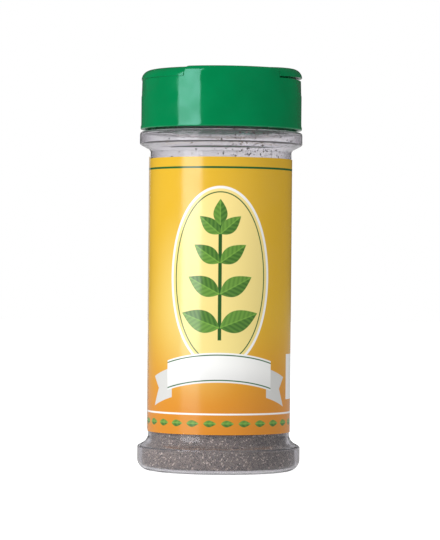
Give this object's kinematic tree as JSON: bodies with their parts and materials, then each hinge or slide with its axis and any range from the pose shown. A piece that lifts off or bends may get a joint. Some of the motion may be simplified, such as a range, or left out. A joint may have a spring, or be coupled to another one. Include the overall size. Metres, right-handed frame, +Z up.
{
  "type": "herb shaker jar",
  "caption": "Clear waisted plastic shaker jar of dried herbs with a wrap label and a green screw cap, whose hinged half flaps cover sifter holes and a spoon opening.",
  "frame": {"origin": "middle of the base, on the surface that the jar stands on", "axes": "+Z up along the jar's axis; the cap's centre bar runs along Y, the sifter flap is at -X and the spoon flap at +X; the label's front faces -Y, turned 8.75 degrees towards -X"},
  "size_m": [0.0582, 0.0582, 0.1434],
  "materials": {
    "clear_plastic": "gloss",
    "label_film": "satin",
    "green_plastic": "gloss",
    "dried_leaf": "matte"
  },
  "bodies": {
    "shaker": {"jar": "clear_plastic", "label": "label_film", "cap": "green_plastic", "dried_basil": "dried_leaf"},
    "sifter_flap": {"sifter_flap": "green_plastic"},
    "spoon_flap": {"spoon_flap": "green_plastic"}
  },
  "joints": [
    {"name": "sifter_flap_hinge", "type": "hinge", "parent": "shaker", "child": "sifter_flap", "pos_m": [-0.0065, 0, 0.14255], "axis": [0, 1, 0], "range_deg": [0, 100]},
    {"name": "spoon_flap_hinge", "type": "hinge", "parent": "shaker", "child": "spoon_flap", "pos_m": [0.0065, 0, 0.14255], "axis": [0, -1, 0], "range_deg": [-2.8, 97.2]}
  ]
}
